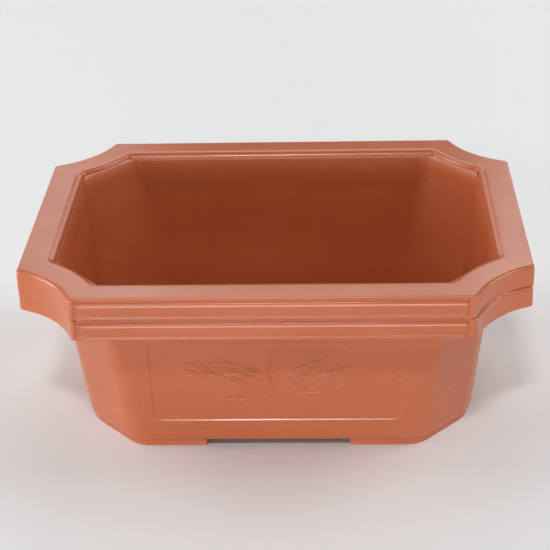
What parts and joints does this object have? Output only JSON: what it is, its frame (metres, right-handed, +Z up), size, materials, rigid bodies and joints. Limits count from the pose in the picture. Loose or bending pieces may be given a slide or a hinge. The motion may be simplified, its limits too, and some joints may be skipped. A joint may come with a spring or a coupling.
{
  "type": "bonsai pot",
  "caption": "Rectangular plastic bonsai training pots nested as a stack, with notched skirted rims, recessed side panels, corner feet and drainage holes.",
  "frame": {"origin": "centre of the stack's footprint, on the surface that the lower pot's feet stand on", "axes": "+Z up, X along the pots' length, Y across their width, with a decorated long side facing -Y and the other +Y"},
  "size_m": [0.2, 0.145, 0.0812],
  "materials": {
    "terracotta_plastic": "satin moulded plastic in a terracotta orange-brown"
  },
  "bodies": {
    "lower_pot": {"lower_pot": "terracotta_plastic"},
    "upper_pot": {"upper_pot": "terracotta_plastic"}
  },
  "joints": [
    {"name": "upper_pot_lift", "type": "slide", "parent": "lower_pot", "child": "upper_pot", "axis": [0, 0, 1], "range_m": [0, 0.08]}
  ]
}
